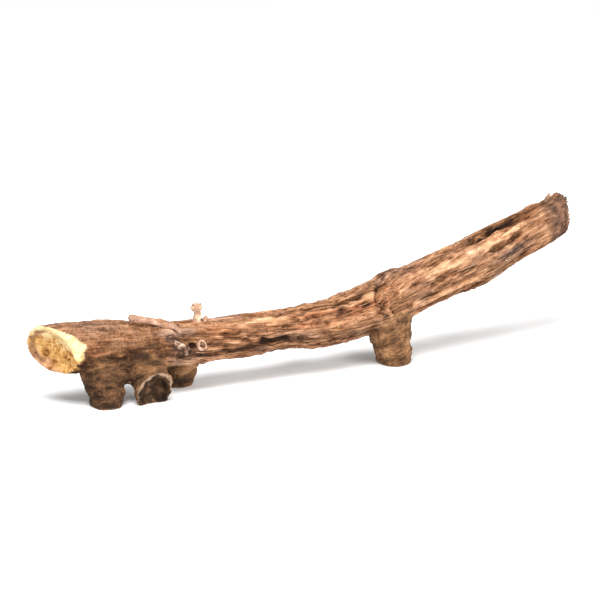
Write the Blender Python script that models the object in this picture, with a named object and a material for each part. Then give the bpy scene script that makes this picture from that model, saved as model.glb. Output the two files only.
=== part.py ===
"""One cut length of dried marshmallow root, lying on a table on the stumps of its side roots.

Run it with: blender --background --python part.py

Metres, +Z up, and the table is z = 0. +X runs along the root, from its slanting cut face to its
thin broken end. The origin is under the middle of the root's box, on the table. "Along" is the
distance along x from the middle of the cut face. A "turn" is an angle round the root's own middle
line, from its top (0) towards -Y (90) and on to its underside (180).
"""

import math

import bmesh
import bpy
from mathutils import Matrix, Vector

MM = 0.001

# The whole root
ROOT_NAME = "marshmallow_root"
BARK_COLOUR = (0.40, 0.23, 0.13, 1.0)
BARK_ROUGHNESS = 0.85
LENGTH = 67.8 * MM  # from the middle of the cut face to the middle of the broken end

# The root's run, in mm: along, y and z of the middle line, mean radius, and the ribs' share of their height
STATIONS = (
    (-4.0, 0.75, 7.02, 3.04, 0.30),
    (0.0, 0.60, 6.98, 3.04, 0.34),
    (6.0, 0.35, 6.74, 2.98, 0.50),
    (13.0, 0.05, 6.20, 2.76, 0.62),
    (21.0, -0.15, 5.84, 2.60, 0.92),
    (29.0, -0.25, 5.76, 2.58, 1.00),
    (36.0, -0.20, 5.85, 2.68, 0.95),
    (40.5, 0.00, 6.48, 2.84, 0.90),
    (44.5, 0.20, 7.56, 2.98, 1.05),
    (51.0, 0.50, 9.30, 2.84, 1.15),
    (58.0, 0.75, 11.08, 2.84, 1.05),
    (63.5, 1.00, 12.94, 2.62, 0.80),
    (67.6, 1.15, 14.40, 2.44, 0.50),
    (72.0, 1.25, 15.90, 2.10, 0.30),
)
Y, Z, RADIUS, RIB_SHARE = 1, 2, 3, 4

# The rounded ribs that run the whole length: the turn of the furrow before each one, in degrees, at
# the cut face, and its height over the furrows, in mm
RIBS = (
    (4, 0.42),
    (34, 0.50),
    (61, 0.60),
    (92, 0.46),
    (119, 0.56),
    (152, 0.38),
    (181, 0.50),
    (213, 0.54),
    (240, 0.42),
    (273, 0.56),
    (301, 0.44),
    (333, 0.40),
)
SHARES_OF_RIB = (0.0, 0.17, 0.50, 0.83)  # where the mesh lines run across one rib
RIB_FULLNESS = 0.62  # under 1 rounds the ribs and narrows the furrows
RIB_WANDER = math.radians(7.4)
RIB_FULL_WIDTH = math.radians(32)  # a rib squeezed narrower than this is lower
RIB_SWELL = 0.40
RING_STEP = 1.04 * MM

# How the ribs turn as they go: towards the front up to the bend, then back over the top
TWIST_START = 16 * MM
TWIST_TO_BEND = math.radians(0.9) / MM
TWIST_PAST_BEND = math.radians(-1.3) / MM

# The root's own unevenness, in shares of its radius
FURROW_FLOOR = 0.90
OVAL = 0.050
LOBES = 0.030
SWELL = 0.030

# The slanting cut at the thick end; the profile goes inwards: share of the rim's size, height in mm
CUT_SLOPE = 0.78
CUT_TURN = math.radians(118)
CUT_BLEND = 11 * MM
CUT_PROFILE = ((0.96, 0.14), (0.84, 0.04), (0.76, -0.30), (0.42, -0.14))

# The ragged break at the thin end
BREAK_SLOPE = 0.24
BREAK_BLEND = 5 * MM
BREAK_JAG = 0.26 * MM
BREAK_PROFILE = ((0.88, 0.42), (0.62, 0.40), (0.30, 0.62))

# The bend, the crease across it and the shoulder just past it
BEND_AT = 43.6 * MM
CREASE_TURN = math.radians(80)
CREASE_WIDTH = 0.75 * MM
CREASE_SPAN = math.radians(62)
CREASE_DEPTH = 0.70 * MM
SHOULDER_AT = 44.9 * MM
SHOULDER_TURN = math.radians(-8)
SHOULDER_RISE = 0.9 * MM  # how far along it takes to rise, and then to fade
SHOULDER_FADE = 5.5 * MM
SHOULDER_SPAN = math.radians(58)
SHOULDER_HEIGHT = 0.55 * MM

# The stumps of side roots, in mm and degrees: along and turn where one leaves, its end's along, y and
# z, its radius, its end's share of that radius, and how far the end slants to face the front
SIDE_ROOTS = {
    "crown_stump": (6.2, 176, (5.8, -2.2, -0.4), 2.50, 0.64, 0.20),
    "hollow_stump": (11.0, 168, (11.2, -3.5, 1.3), 2.45, 1.05, 0.55),
    "back_stump": (17.4, 204, (18.3, 3.7, -0.6), 1.80, 0.74, 0.0),
    "bend_stump": (43.6, 174, (45.1, -1.0, -0.5), 2.55, 0.70, 0.15),
    "back_knot": (51.6, 262, (52.6, 4.4, 9.1), 1.35, 0.80, 0.0),
}
STUMP_START = 1.3 * MM  # how far from the middle line a stump starts
STUMP_SIDES = 18
STUMP_RINGS = 8
STUMP_FLARE = 0.14
STUMP_ROUNDING = 4  # the higher, the nearer to its end a stump narrows
STUMP_WRINKLE = 0.022
STUMP_LOBES = 0.07
STUMP_PROFILE = ((0.88, 0.24), (0.72, 0.10), (0.60, -0.28), (0.30, -0.18))

# Thin rootlets and scars, in mm and degrees: along, turn, height over the bark and radius of each point
ROOTLETS = {
    "top_rootlet": (
        (16.2, 26, -1.0, 0.62),
        (14.6, 26, 0.02, 0.50),
        (12.8, 25, 0.40, 0.42),
        (11.0, 23, 0.72, 0.42),
        (9.9, 22, 0.86, 0.50),
        (9.5, 22, 0.90, 0.28),
    ),
    "top_nub": ((18.6, 6, -1.2, 0.74), (18.5, 5, 0.3, 0.48), (18.3, 4, 1.3, 0.50), (18.2, 4, 1.9, 0.66)),
    "front_scar": ((15.6, 96, -0.9, 0.95), (15.6, 96, 0.10, 0.80), (15.5, 96, 0.42, 0.50)),
    "round_scar": ((17.9, 92, -0.9, 0.80), (17.9, 92, 0.34, 0.62)),
    "back_rootlet": (
        (30.0, 262, -1.0, 0.72),
        (30.6, 263, 0.4, 0.50),
        (32.0, 266, 1.0, 0.42),
        (34.2, 270, 1.3, 0.34),
    ),
    "under_scar": ((57.0, 196, -1.0, 1.00), (57.2, 196, 0.42, 0.74)),
    "rear_scar": ((7.0, 276, -1.0, 1.15), (7.0, 276, 0.44, 0.86)),
}
ROOTLET_BEVEL_RESOLUTION = 2
WELD = 0.001 * MM

TABLE_BLOCK = (160 * MM, 80 * MM, 20 * MM)
SMOOTH_UP_TO = math.radians(50)


def run_value(column, along):
    """A column of the root's run at a distance along it, in mm, on a smooth curve through its rows."""
    place = along / MM
    index = max(i for i in range(len(STATIONS) - 1) if i == 0 or STATIONS[i][0] <= place)

    def slope(i):
        before, after = STATIONS[max(i - 1, 0)], STATIONS[min(i + 1, len(STATIONS) - 1)]
        return (after[column] - before[column]) / (after[0] - before[0])

    here, ahead = STATIONS[index], STATIONS[index + 1]
    span = ahead[0] - here[0]
    t = (place - here[0]) / span
    return (
        here[column] * (2 * t**3 - 3 * t**2 + 1)
        + slope(index) * span * (t**3 - 2 * t**2 + t)
        + ahead[column] * (3 * t**2 - 2 * t**3)
        + slope(index + 1) * span * (t**3 - t**2)
    )


def middle(along):
    """The point of the root's middle line at a distance along it."""
    return Vector((along, run_value(Y, along) * MM, run_value(Z, along) * MM))


def axes(along):
    """The middle line's direction, the way up across it and the way to the front across it."""
    step = 0.5 * MM
    ahead = (middle(along + step) - middle(along - step)).normalized()
    front = ahead.cross(Vector((0, 0, 1))).normalized()
    return ahead, front.cross(ahead), front


def outward(along, turn):
    """The unit vector across the root at a turn."""
    _, up, front = axes(along)
    return math.cos(turn) * up + math.sin(turn) * front


def ease(share):
    """0 to 1 with a smooth start and end, and flat outside."""
    share = min(max(share, 0.0), 1.0)
    return share * share * (3 - 2 * share)


def twist(along):
    """How far the ribs have turned by this place along the root."""
    to_bend = min(max(along - TWIST_START, 0.0), BEND_AT - TWIST_START)
    past_bend = max(along - BEND_AT, 0.0)
    return TWIST_TO_BEND * to_bend + TWIST_PAST_BEND * past_bend


def furrow_turn(index, along):
    """The turn of the furrow before a rib, which wanders along the root."""
    rounds, number = divmod(index, len(RIBS))
    place = along / MM
    wander = math.sin(place / 4.6 + 2.1 * number) + 0.6 * math.sin(place / 2.4 + 3.7 * number)
    return math.radians(RIBS[number][0]) + rounds * math.tau + twist(along) + RIB_WANDER * wander


def rib_height(index, along, width):
    """The height of a rib, which swells along the root and is low where its neighbours squeeze it."""
    number = index % len(RIBS)
    place = along / MM
    swell = math.sin(place / 5.2 + 1.9 * number) + 0.5 * math.sin(place / 2.9 + 4.3 * number)
    height = RIBS[number][1] * MM * run_value(RIB_SHARE, along)
    return height * (1 + RIB_SWELL * swell / 1.5) * ease(width / RIB_FULL_WIDTH)


def crease(along, turn):
    """The depth of the crease that runs across the front of the bend."""
    across = math.remainder(turn - CREASE_TURN, math.tau) / CREASE_SPAN
    away = (along - BEND_AT) / CREASE_WIDTH
    return CREASE_DEPTH * math.exp(-(away**2) - across**2)


def shoulder(along, turn):
    """The height of the shoulder where the far part of the root starts, over the top of the bend."""
    across = math.remainder(turn - SHOULDER_TURN, math.tau) / SHOULDER_SPAN
    past = along - SHOULDER_AT
    rise = ease(1 + past / SHOULDER_RISE) * ease(1 - past / SHOULDER_FADE)
    return SHOULDER_HEIGHT * rise * math.exp(-(across**2))


def furrow_radius(along, turn):
    """The radius of the furrows' floor: a little oval, lobed and swelling, with what the bend does."""
    place = along / MM
    oval = OVAL * math.cos(2 * turn + place / 9)
    lobes = LOBES * math.cos(3 * turn - place / 6)
    swell = SWELL * (math.sin(place / 2.7) + 0.6 * math.sin(place / 1.3 + 1))
    floor = run_value(RADIUS, along) * MM * (FURROW_FLOOR + oval + lobes + swell)
    return floor - crease(along, turn) + shoulder(along, turn)


def bark(along, index, share):
    """The turn and the radius of the bark at a share of the way across a rib."""
    near, far = furrow_turn(index, along), furrow_turn(index + 1, along)
    turn = near + share * (far - near)
    height = rib_height(index, along, far - near) * math.sin(math.pi * share) ** RIB_FULLNESS
    return turn, furrow_radius(along, turn) + height


def cut_shift(along, turn, radius):
    """How far a mesh ring shifts along the root, so that the first ring lies in the slanting cut."""
    return CUT_SLOPE * radius * math.cos(turn - CUT_TURN) * ease(1 - along / CUT_BLEND)


def break_shift(along, turn, radius):
    """How far a mesh ring shifts along the root, so that the last ring is ragged."""
    jag = BREAK_JAG * (math.sin(3 * turn + 0.7) + 0.7 * math.sin(7 * turn + 2.0))
    return (BREAK_SLOPE * radius * math.cos(turn) + jag) * ease(1 - (LENGTH - along) / BREAK_BLEND)


def bark_ring(along):
    """One ring of bark points."""
    ring = []
    for index in range(len(RIBS)):
        for share in SHARES_OF_RIB:
            turn, radius = bark(along, index, share)
            place = along + cut_shift(along, turn, radius) + break_shift(along, turn, radius)
            turn, radius = bark(place, index, share)
            ring.append(middle(place) + radius * outward(place, turn))
    return ring


def evened(ring):
    """A ring with its ribs and jags rubbed down."""
    for _ in range(4):
        ring = [(ring[i - 1] + 2 * ring[i] + ring[(i + 1) % len(ring)]) / 4 for i in range(len(ring))]
    return ring


def cap_rings(ring, outwards, profile):
    """The rings of an end face, from its rim inwards, and the point that closes it."""
    centre = sum(ring, Vector()) / len(ring)
    rings = []
    for share, height in profile:
        ring = evened(ring)
        rings.append([centre + share * (point - centre) + height * MM * outwards for point in ring])
    return rings, centre + height * MM * outwards


def finished_mesh(obj):
    """What an object's curve and modifiers give, as a plain mesh."""
    bpy.context.view_layer.update()
    return bpy.data.meshes.new_from_object(obj.evaluated_get(bpy.context.evaluated_depsgraph_get()))


def add_object(name, mesh):
    """Makes an object of a bmesh, with its faces pointing out."""
    bmesh.ops.recalc_face_normals(mesh, faces=mesh.faces)
    data = bpy.data.meshes.new(name)
    mesh.to_mesh(data)
    mesh.free()
    obj = bpy.data.objects.new(name, data)
    bpy.context.scene.collection.objects.link(obj)
    return obj


def lofted(name, rings, start_tip, end_tip):
    """A closed solid over rings of points, closed by a fan to a tip at each end."""
    mesh = bmesh.new()
    loops = [[mesh.verts.new(point) for point in ring] for ring in rings]
    for near, far in zip(loops, loops[1:]):
        for i in range(len(near)):
            j = (i + 1) % len(near)
            mesh.faces.new((near[i], near[j], far[j], far[i]))
    for loop, tip in ((loops[0], start_tip), (loops[-1], end_tip)):
        tip_vertex = mesh.verts.new(tip)
        for i in range(len(loop)):
            mesh.faces.new((loop[i], loop[(i + 1) % len(loop)], tip_vertex))
    return add_object(name, mesh)


def make_bark_body():
    """The ribbed length of root with its slanting cut face and its ragged thin end."""
    count = round(LENGTH / RING_STEP)
    rings = [bark_ring(LENGTH * i / count) for i in range(count + 1)]
    cut_rings, cut_tip = cap_rings(rings[0], -axes(0)[0], CUT_PROFILE)
    break_rings, break_tip = cap_rings(rings[-1], axes(LENGTH)[0], BREAK_PROFILE)
    return lofted(ROOT_NAME, cut_rings[::-1] + rings + break_rings, cut_tip, break_tip)


def make_stump(name, along, turn, end, radius, end_share, slant):
    """The stump of a side root: flared where it leaves the root, wrinkled, with a hollow broken end."""
    start = middle(along * MM) + STUMP_START * outward(along * MM, math.radians(turn))
    run = Vector(end) * MM - start
    outwards = run.normalized()
    across = outwards.cross(axes(along * MM)[0]).normalized()
    beside = across.cross(outwards)
    rings = []
    for i in range(STUMP_RINGS + 1):
        share = i / STUMP_RINGS
        flare = 1 + STUMP_FLARE * (1 - ease(1.6 * share)) - (1 - end_share) * share**STUMP_ROUNDING
        wrinkle = 1 + STUMP_WRINKLE * (math.cos(math.pi * i) + math.sin(2.3 * i + along))
        ring = []
        for j in range(STUMP_SIDES):
            angle = math.tau * j / STUMP_SIDES
            lobes = 1 + STUMP_LOBES * (math.cos(3 * angle + along) + math.cos(2 * angle + 3 * share))
            size = radius * MM * flare * wrinkle * lobes
            place = start + share * run + size * (math.cos(angle) * beside + math.sin(angle) * across)
            ring.append(place - slant * share**2 * size * math.sin(angle) * outwards)
        rings.append(ring)
    end_rings, end_tip = cap_rings(rings[-1], outwards, STUMP_PROFILE)
    return lofted(name, rings + end_rings, start, end_tip)


def make_rootlet(name, points):
    """A thin rootlet or a scar: a tapered tube that starts inside the bark."""
    curve = bpy.data.curves.new(name, "CURVE")
    curve.dimensions = "3D"
    curve.bevel_depth = MM
    curve.bevel_resolution = ROOTLET_BEVEL_RESOLUTION
    curve.use_fill_caps = True
    spline = curve.splines.new("POLY")
    spline.points.add(len(points) - 1)
    for point, (along, turn, height, radius) in zip(spline.points, points):
        over = (run_value(RADIUS, along * MM) + height) * MM
        place = middle(along * MM) + over * outward(along * MM, math.radians(turn))
        point.co = (*place, 1)
        point.radius = radius
    tube = bpy.data.objects.new(name + "_curve", curve)
    bpy.context.scene.collection.objects.link(tube)
    mesh = bmesh.new()
    mesh.from_mesh(finished_mesh(tube))
    bmesh.ops.remove_doubles(mesh, verts=mesh.verts, dist=WELD)
    bpy.data.objects.remove(tube)
    return add_object(name, mesh)


def grow_together(root, outgrowths):
    """Joins the outgrowths to the root as one solid, and removes them."""
    group = bpy.data.collections.new("outgrowths")
    bpy.context.scene.collection.children.link(group)
    for outgrowth in outgrowths:
        bpy.context.scene.collection.objects.unlink(outgrowth)
        group.objects.link(outgrowth)
    union = root.modifiers.new("grown_together", "BOOLEAN")
    union.operation = "UNION"
    union.operand_type = "COLLECTION"
    union.collection = group
    union.solver = "EXACT"
    root.data = finished_mesh(root)
    root.modifiers.clear()
    for outgrowth in outgrowths:
        bpy.data.objects.remove(outgrowth)
    bpy.data.collections.remove(group)


def flatten_feet(root):
    """Cuts the stumps flat at the table's height, so that the root stands on them."""
    bpy.ops.mesh.primitive_cube_add(size=1)
    block = bpy.context.object
    block.data.transform(Matrix.Diagonal((*TABLE_BLOCK, 1)))
    block.data.transform(Matrix.Translation((LENGTH / 2, 0, -TABLE_BLOCK[2] / 2)))
    cut = root.modifiers.new("feet", "BOOLEAN")
    cut.operation = "DIFFERENCE"
    cut.object = block
    cut.solver = "EXACT"
    root.data = finished_mesh(root)
    root.modifiers.clear()
    bpy.data.objects.remove(block)


def centre_on_origin(root):
    """Moves the root so that the middle of its box stands over the origin."""
    corners = [Vector(corner) for corner in root.bound_box]
    centre = sum(corners, Vector()) / len(corners)
    root.data.transform(Matrix.Translation((-centre.x, -centre.y, 0)))


def bark_material():
    """A dull brown for the whole root."""
    material = bpy.data.materials.new("bark")
    material.use_nodes = True
    shader = material.node_tree.nodes["Principled BSDF"]
    shader.inputs["Base Color"].default_value = BARK_COLOUR
    shader.inputs["Roughness"].default_value = BARK_ROUGHNESS
    shader.inputs["Metallic"].default_value = 0.0
    return material


def main():
    for obj in list(bpy.data.objects):
        bpy.data.objects.remove(obj)
    root = make_bark_body()
    outgrowths = [make_stump(name, *sizes) for name, sizes in SIDE_ROOTS.items()]
    outgrowths += [make_rootlet(name, points) for name, points in ROOTLETS.items()]
    grow_together(root, outgrowths)
    flatten_feet(root)
    centre_on_origin(root)
    root.data.materials.clear()
    root.data.materials.append(bark_material())
    root.data.shade_smooth()
    root.data.set_sharp_from_angle(angle=SMOOTH_UP_TO)
    group = bpy.data.collections.new(ROOT_NAME)
    bpy.context.scene.collection.children.link(group)
    bpy.context.scene.collection.objects.unlink(root)
    group.objects.link(root)


main()
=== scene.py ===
"""The looks of one cut length of dried marshmallow root.

The bark is one skin over the whole root. It is made in the straightened root, where the grain runs
along x, so that its mesh follows the grain, and is then bent back to the root's own run. A tree of
geometry nodes raises the relief on it. "Along" is the distance along the root from the middle of its
cut face, and a "turn" is an angle round its middle line, from the top (0) towards -Y (90). Sizes are
in millimetres and turns in degrees unless a comment says otherwise; Blender's own units are metres.
"""

import math

import bmesh
import bpy
import numpy as np
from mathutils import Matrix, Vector
from mathutils.bvhtree import BVHTree


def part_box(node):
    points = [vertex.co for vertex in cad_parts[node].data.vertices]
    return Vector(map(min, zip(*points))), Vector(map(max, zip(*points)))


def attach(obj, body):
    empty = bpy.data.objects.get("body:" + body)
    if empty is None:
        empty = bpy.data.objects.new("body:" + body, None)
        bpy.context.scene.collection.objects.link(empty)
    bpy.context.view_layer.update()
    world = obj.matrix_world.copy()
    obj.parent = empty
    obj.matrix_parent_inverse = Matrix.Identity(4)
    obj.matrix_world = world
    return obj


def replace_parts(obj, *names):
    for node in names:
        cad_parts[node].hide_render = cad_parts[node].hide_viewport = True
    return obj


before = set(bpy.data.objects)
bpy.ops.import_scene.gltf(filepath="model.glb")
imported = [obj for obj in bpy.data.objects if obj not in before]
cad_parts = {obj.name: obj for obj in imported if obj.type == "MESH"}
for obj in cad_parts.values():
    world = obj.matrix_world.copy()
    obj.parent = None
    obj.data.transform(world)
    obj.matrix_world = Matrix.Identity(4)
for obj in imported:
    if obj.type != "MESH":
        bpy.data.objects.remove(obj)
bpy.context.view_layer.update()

MM = 0.001
ROOT = "marshmallow_root"
BODY = "root"
SEED = 7

# The root's run: along, y and z of the middle line, mean radius, and the ribs' share of their height
STATIONS = np.array(
    (
        (-4.0, 0.75, 7.02, 3.04, 0.30),
        (0.0, 0.60, 6.98, 3.04, 0.34),
        (6.0, 0.35, 6.74, 2.98, 0.50),
        (13.0, 0.05, 6.20, 2.76, 0.62),
        (21.0, -0.15, 5.84, 2.60, 0.92),
        (29.0, -0.25, 5.76, 2.58, 1.00),
        (36.0, -0.20, 5.85, 2.68, 0.95),
        (40.5, 0.00, 6.48, 2.84, 0.90),
        (44.5, 0.20, 7.56, 2.98, 1.05),
        (51.0, 0.50, 9.30, 2.84, 1.15),
        (58.0, 0.75, 11.08, 2.84, 1.05),
        (63.5, 1.00, 12.94, 2.62, 0.80),
        (67.6, 1.15, 14.40, 2.44, 0.50),
        (72.0, 1.25, 15.90, 2.10, 0.30),
    )
)
Y, Z, RADIUS, RIB_SHARE = 1, 2, 3, 4
LENGTH = 67.8
LOW_END = -2.0599  # x of the low end of the root's box in its own frame
SIDE_SHIFT = 0.2445  # y of the middle of that box

# The turns of the furrows between the ribs at the cut face, as in the solid, and how far they wander
FURROWS = np.array((4, 34, 61, 92, 119, 152, 181, 213, 240, 273, 301, 333))
FURROW_WANDER = 7.4
FULL_RIB = 26  # furrows beside a rib narrower than this, in degrees, are shallower
MEAN_RIB = 0.32  # the mean height of a rib
# The bark's radius, in shares of the run's: on the furrows' floor, and how uneven it is round and along
FURROW_FLOOR = 0.90
OVAL = 0.050
LOBES = 0.030
SWELL = 0.030
# The ribs twist by so many degrees a millimetre up to the bend, and past it
TWIST_START = 16
TWIST_TO_BEND = 0.9
TWIST_PAST_BEND = -1.3
BEND_AT = 43.6
# How far both ends slope along the root for each mm across it, and the turn where the cut is furthest along
CUT_SLOPE = 0.78
CUT_TURN = 118
BREAK_SLOPE = 0.24
FLAT_RADIUS = 2.9  # of the bark where it is laid out flat
INSIDE = 0.5  # a radius that is inside the bark everywhere

# What grows on the root, as in the solid. Stumps: along and turn one leaves at, its end, and radius
STUMPS = {
    "crown": (6.2, 176, (5.8, -2.2, -0.4), 2.50),
    "hollow": (11.0, 168, (11.2, -3.5, 1.3), 2.45),
    "back": (17.4, 204, (18.3, 3.7, -0.6), 1.80),
    "bend": (43.6, 174, (45.1, -1.0, -0.5), 2.55),
    "knot": (51.6, 262, (52.6, 4.4, 9.1), 1.35),
}
STUMP_START = 1.3
# Rootlets and scars: the along, turn, height over the run's radius and own radius of two ends
ROOTLETS = {
    "top": ((14.6, 26, 0.02, 0.50), (9.5, 22, 0.90, 0.40)),
    "nub": ((18.5, 5, 0.3, 0.48), (18.2, 4, 1.9, 0.60)),
    "back": ((30.6, 263, 0.4, 0.50), (34.2, 270, 1.3, 0.36)),
}
SCARS = {
    "front": ((15.6, 96, 0.10, 0.80), (15.5, 96, 0.42, 0.60)),
    "ring": ((17.9, 92, -0.2, 0.80), (17.9, 92, 0.34, 0.62)),
    "under": ((57.0, 196, -0.2, 1.00), (57.2, 196, 0.42, 0.80)),
    "rear": ((7.0, 276, -0.2, 1.15), (7.0, 276, 0.44, 0.90)),
}

# Single folds of the bark that the photograph shows. Each has its height (a furrow's is below zero), its
# half width, and the along and turn of the places it runs through.
FOLDS = (
    (0.26, 0.42, ((22.5, 40), (25.7, 39), (28.5, 36), (31.4, 43), (34.8, 37), (37.8, 43), (41.8, 48))),
    (-0.30, 0.34, ((28.0, 24), (31.0, 25), (34.0, 29))),
    (-0.40, 0.42, ((36.2, 31), (38.5, 28), (40.8, 24), (42.6, 20))),
    (-0.30, 0.36, ((30.2, 50), (31.8, 53), (34.0, 49))),
    (-0.26, 0.62, ((36.0, 62), (38.5, 58), (41.4, 60))),
    (0.24, 0.42, ((34.5, 72), (37.0, 82), (40.2, 82), (42.0, 66))),
    (-0.42, 0.34, ((20.5, 70), (22.7, 77), (25.0, 80), (26.4, 98), (29.0, 104), (31.4, 107))),
    (0.22, 0.34, ((20.8, 92), (23.0, 90), (25.6, 97))),
    (-0.46, 0.42, ((19.8, 112), (22.0, 114), (24.4, 111), (26.8, 107), (29.0, 108))),
    (-0.22, 0.30, ((15.0, 52), (17.5, 60), (19.5, 58))),
    (0.20, 0.55, ((17.0, 48), (18.8, 46))),
    (0.20, 0.50, ((20.6, 56), (22.0, 58))),
    (-0.26, 0.36, ((9.6, 99), (11.2, 104), (13.2, 124), (14.6, 136))),
    (0.24, 0.46, ((10.6, 112), (12.4, 118), (14.2, 124), (15.6, 128))),
    (0.16, 0.30, ((3.4, 96), (6.0, 100), (9.0, 104))),
    (-0.20, 0.30, ((3.6, 108), (6.2, 110), (9.4, 112))),
    (-0.18, 0.28, ((4.2, 66), (6.4, 70), (8.4, 66))),
    (-0.18, 0.26, ((6.0, 48), (8.6, 52), (10.8, 50))),
    (0.30, 0.34, ((12.2, 22), (13.6, 30), (14.4, 50), (14.8, 70))),
    (-0.36, 0.34, ((12.0, 44), (12.5, 52))),
    (-0.42, 0.40, ((16.4, 74), (16.8, 88), (17.0, 104))),
    (0.34, 0.50, ((43.8, 40), (47.2, 47), (51.7, 55), (56.3, 52), (59.5, 44), (62.7, 38), (65.6, 38))),
    (-0.52, 0.40, ((54.4, 28), (57.0, 19), (59.8, 10), (62.4, 2), (65.0, -6), (66.6, -14))),
    (-0.34, 0.90, ((66.6, -30), (68.6, -10), (69.0, 20))),
    (0.24, 0.32, ((49.6, 12), (53.6, 3), (56.0, 6), (58.2, 10))),
    (-0.32, 0.26, ((57.6, 70), (58.9, 66), (60.8, 63), (63.0, 58))),
    (0.26, 0.32, ((56.4, 86), (58.6, 76), (60.6, 68), (63.2, 66), (64.8, 58))),
    (-0.24, 0.34, ((46.4, 66), (49.0, 76), (52.2, 73), (54.6, 82), (57.4, 99))),
    (0.22, 0.40, ((43.6, 140), (46.2, 117), (50.2, 123), (52.8, 118))),
    (0.18, 0.30, ((52.6, 110), (54.4, 114), (58.7, 140))),
    (-0.34, 0.30, ((46.4, 2), (48.0, 16), (50.0, 33), (51.4, 38))),
    (-0.24, 0.24, ((46.2, 60), (47.4, 68), (48.0, 60))),
    (-0.24, 0.24, ((49.4, 92), (50.4, 97), (51.6, 90))),
    (0.18, 0.34, ((44.4, 92), (47.6, 90), (50.2, 84))),
    (-0.20, 0.30, ((45.0, 108), (48.4, 104), (52.0, 100))),
    (-0.55, 0.26, ((43.4, 10), (42.6, 32), (41.9, 52), (42.3, 70), (42.1, 88), (42.4, 104))),
    (0.34, 0.26, ((43.2, 58), (43.0, 84), (42.9, 112), (43.3, 140))),
    (0.24, 0.24, ((41.2, 96), (41.8, 120), (42.4, 140))),
    (-0.34, 0.26, ((43.8, -4), (43.2, 16), (43.9, 28))),
)
DRAWN_FOLDS = 74  # on the sides that the photograph doesn't show
DEEPEST_FOLD = -0.55
HIGHEST_FOLD = 0.42

# Patches of another tint: rust, grey or pale (dark if below zero); along and turn of the middle, half
# length, half width and strength. The dark patches on the top by the broken end and low at the front by
# along 24 are painted shade.
TINTS = (
    ("rust", 39.0, 60, 4.0, 0.7, 1.0),
    ("rust", 33.5, 42, 3.2, 0.5, 0.8),
    ("rust", 11.6, 112, 2.6, 0.6, 0.9),
    ("rust", 21.0, 52, 2.6, 0.9, 0.7),
    ("rust", 29.0, 28, 3.0, 0.5, 0.7),
    ("rust", 62.0, 30, 3.0, 0.6, 0.6),
    ("rust", 48.0, 208, 6.0, 1.4, 0.6),
    ("rust", 24.0, 262, 5.0, 1.2, 0.7),
    ("grey", 60.4, 96, 2.4, 0.8, 1.0),
    ("grey", 46.0, 4, 3.4, 1.0, 0.6),
    ("grey", 5.0, 20, 3.4, 1.4, 0.6),
    ("grey", 30.0, 96, 3.0, 0.9, 0.5),
    ("grey", 36.0, 190, 7.0, 2.0, 0.8),
    ("grey", 12.0, 290, 5.0, 1.8, 0.8),
    ("grey", 57.0, 240, 5.0, 1.6, 0.7),
    ("pale", 54.0, 112, 1.4, 0.6, 1.0),
    ("pale", 58.0, 48, 3.6, 0.5, 1.0),
    ("pale", 47.6, 112, 3.6, 0.7, 0.7),
    ("pale", 7.4, 62, 4.4, 1.5, 0.5),
    ("pale", 18.0, 26, 3.0, 0.8, 0.7),
    ("pale", 25.0, 38, 3.6, 0.5, 0.6),
    ("pale", 42.0, 300, 5.0, 1.2, 0.6),
    ("pale", 45.4, 86, 2.4, 1.0, -0.6),
    ("pale", 50.2, 70, 4.0, 1.3, 0.6),
    ("pale", 57.0, 96, 2.2, 0.9, 0.7),
    # Painted shade along the top by the broken end
    ("pale", 61.5, 4, 5.0, 0.8, -1.4),
    ("pale", 65.6, -4, 3.0, 0.8, -0.8),
    # A painted shadow low at the front
    ("pale", 23.6, 112, 3.6, 0.6, -1.6),
)
TINT_NAMES = ("rust", "grey", "pale")

# Growths on the bark: the along, turn, height over the run's radius and own radius of places on each axis
GROWTHS = {
    "top_rootlet": (
        (15.6, 50, -0.44, 0.30),
        (14.8, 33, -0.06, 0.42),
        (13.6, 27, 0.20, 0.40),
        (12.2, 24, 0.46, 0.37),
        (10.8, 23, 0.66, 0.36),
        (9.8, 22, 0.82, 0.39),
        (9.3, 22, 0.88, 0.42),
        (9.0, 22, 0.91, 0.34),
        (8.8, 22, 0.93, 0.14),
    ),
    "nub": (
        (18.5, 5, -0.40, 0.50),
        (18.45, 5, 0.40, 0.40),
        (18.40, 4, 0.95, 0.42),
        (18.35, 4, 1.15, 0.62),
        (18.30, 4, 1.45, 0.72),
        (18.25, 4, 1.72, 0.46),
        (18.2, 4, 1.90, 0.16),
    ),
    "nub_bud": ((19.4, 8, -0.30, 0.30), (19.6, 8, 0.20, 0.26), (19.7, 8, 0.36, 0.10)),
    "back_rootlet": (
        (30.2, 262, -0.20, 0.50),
        (31.6, 265, 0.70, 0.44),
        (33.2, 268, 1.12, 0.38),
        (34.2, 270, 1.34, 0.36),
        (34.6, 270, 1.40, 0.14),
    ),
}
# Rings left where rootlets broke off: along, turn, radius of the ring and of its rim, how light it is
RING_SCARS = (
    (17.9, 88, 0.48, 0.17, 0.55),
    (57.1, 196, 0.44, 0.13, 0.0),
    (26.4, 208, 0.40, 0.12, 0.1),
    (39.0, 330, 0.36, 0.12, 0.1),
)
SCAR_STRENGTH = 0.40  # how much of the torn look the raised scars have
# The torn place beside the first ring: along and turn of places on its middle, and its half width
TORN_SCAR = ((14.1, 66), (15.0, 83), (16.1, 105))
TORN_WIDTH = 0.80
# The first part of the root is smoother: up to where, and over what length that fades
SMOOTH_END = 24
SMOOTH_FADE = 14
# How far a stump's bark, and a scar's or rootlet's, spreads over the root's, in radii of its own
STUMP_SPREAD = 1.45
SCAR_SPREAD = 1.25
# Where the cut has also taken the bark's edge off: how far along, and the turn of its middle and width
CHAMFER = (1.8, 68, 36)
# The broken end's upper part reaches further than the solid's: how far, and over how much of the root
BREAK_REACH = 1.0
BREAK_STRETCH = 5
FRAYED_TURN = 74  # the side on which it's torn furthest back
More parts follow.
